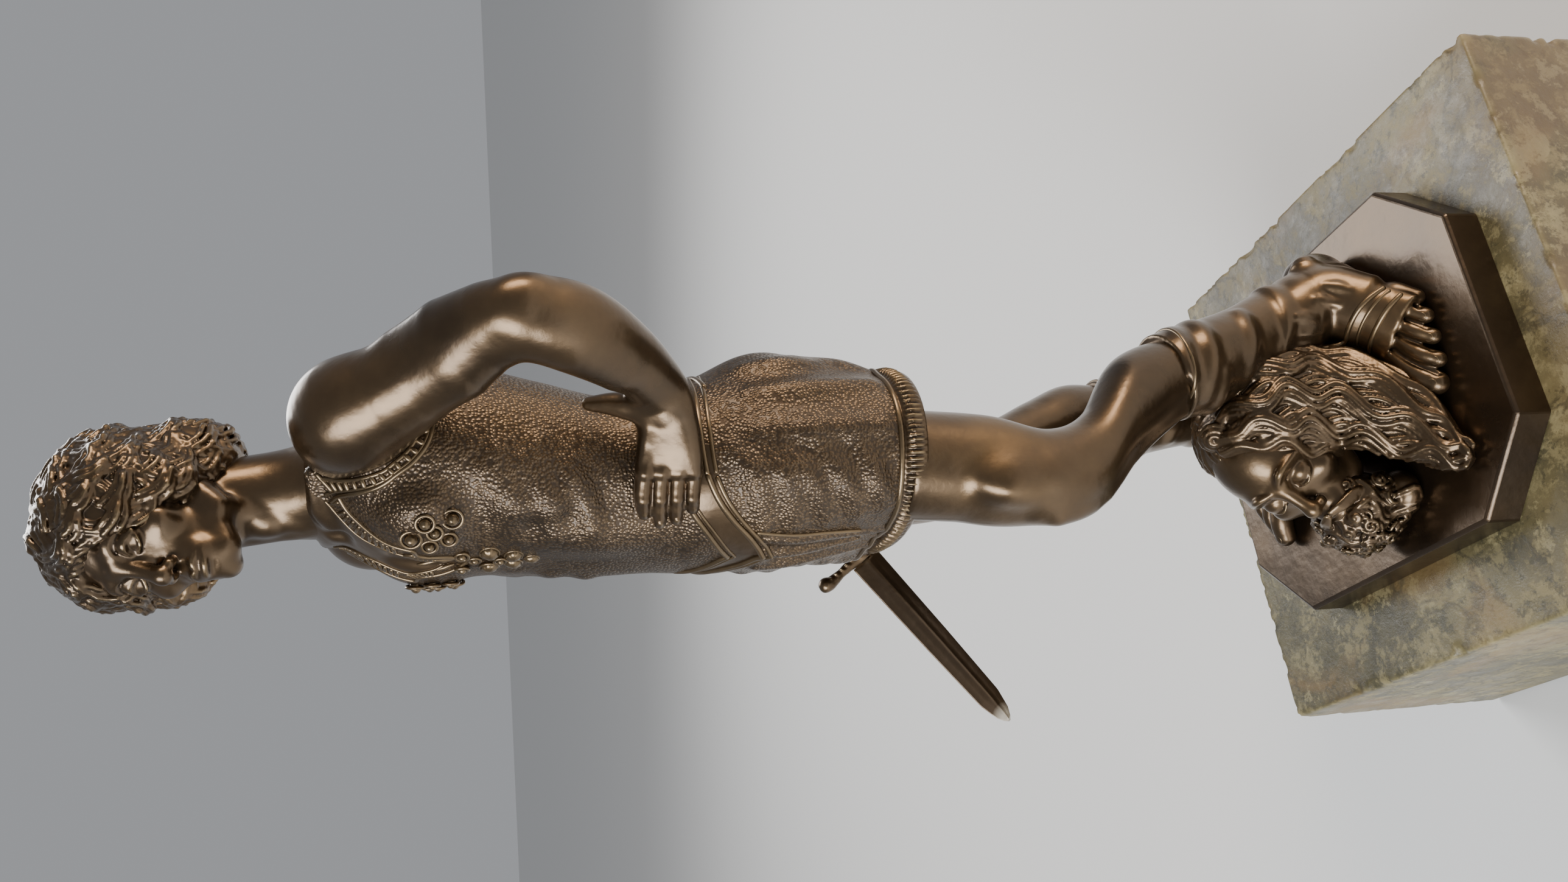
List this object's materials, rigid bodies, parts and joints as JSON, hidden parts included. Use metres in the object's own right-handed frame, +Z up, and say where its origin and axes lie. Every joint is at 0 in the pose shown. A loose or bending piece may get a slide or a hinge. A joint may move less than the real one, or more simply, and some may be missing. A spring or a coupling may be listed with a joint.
{
  "type": "bronze statuette",
  "caption": "Dark bronze statuette of a standing youth holding a short sword over a fallen bearded head, on an eight-sided plinth and a square marble block.",
  "frame": {"origin": "centre of the marble block's felted underside", "axes": "+Z up through the figure; the youth faces -Y and +X is the youth's left"},
  "size_m": [0.12, 0.12, 0.3442],
  "materials": {
    "bronze": "dark brown patinated bronze, waxed, rubbed lighter on the high parts",
    "blade": "dark patinated bronze, bare at the point",
    "fixings": "plain steel",
    "marble": "honed grey-green marble with brown and grey veins",
    "felt": "dark green felt"
  },
  "bodies": {
    "base": {"marble_block": "marble", "base_felt": "felt"},
    "bronze": {"plinth_plate": "bronze", "leg_left": "bronze", "leg_right": "bronze", "skirt_casting": "bronze", "torso_casting": "bronze", "waist_collar": "bronze", "head_casting": "bronze", "arm_left": "bronze", "arm_right": "bronze", "trophy_head": "bronze", "sword_pommel": "bronze", "foot_screw_left": "fixings", "foot_screw_right": "fixings", "trophy_screw_front": "fixings", "trophy_screw_back": "fixings", "leg_pin_left": "fixings", "leg_pin_right": "fixings", "shoulder_pin_left": "fixings", "shoulder_pin_right": "fixings", "neck_pin": "fixings", "anchor_stud": "fixings", "anchor_washer": "fixings", "anchor_nut": "fixings"},
    "sword": {"sword_blade": "blade", "sword_guard": "bronze", "sword_grip": "bronze"}
  },
  "joints": [
    {"name": "bronze_swivel", "type": "hinge", "parent": "base", "child": "bronze", "pos_m": [0, 0, 0.0611], "axis": [0, 0, 1], "continuous": true},
    {"name": "sword_draw", "type": "slide", "parent": "bronze", "child": "sword", "axis": [-0.098, -0.7857, -0.6108], "range_m": [0, 0.018]}
  ]
}
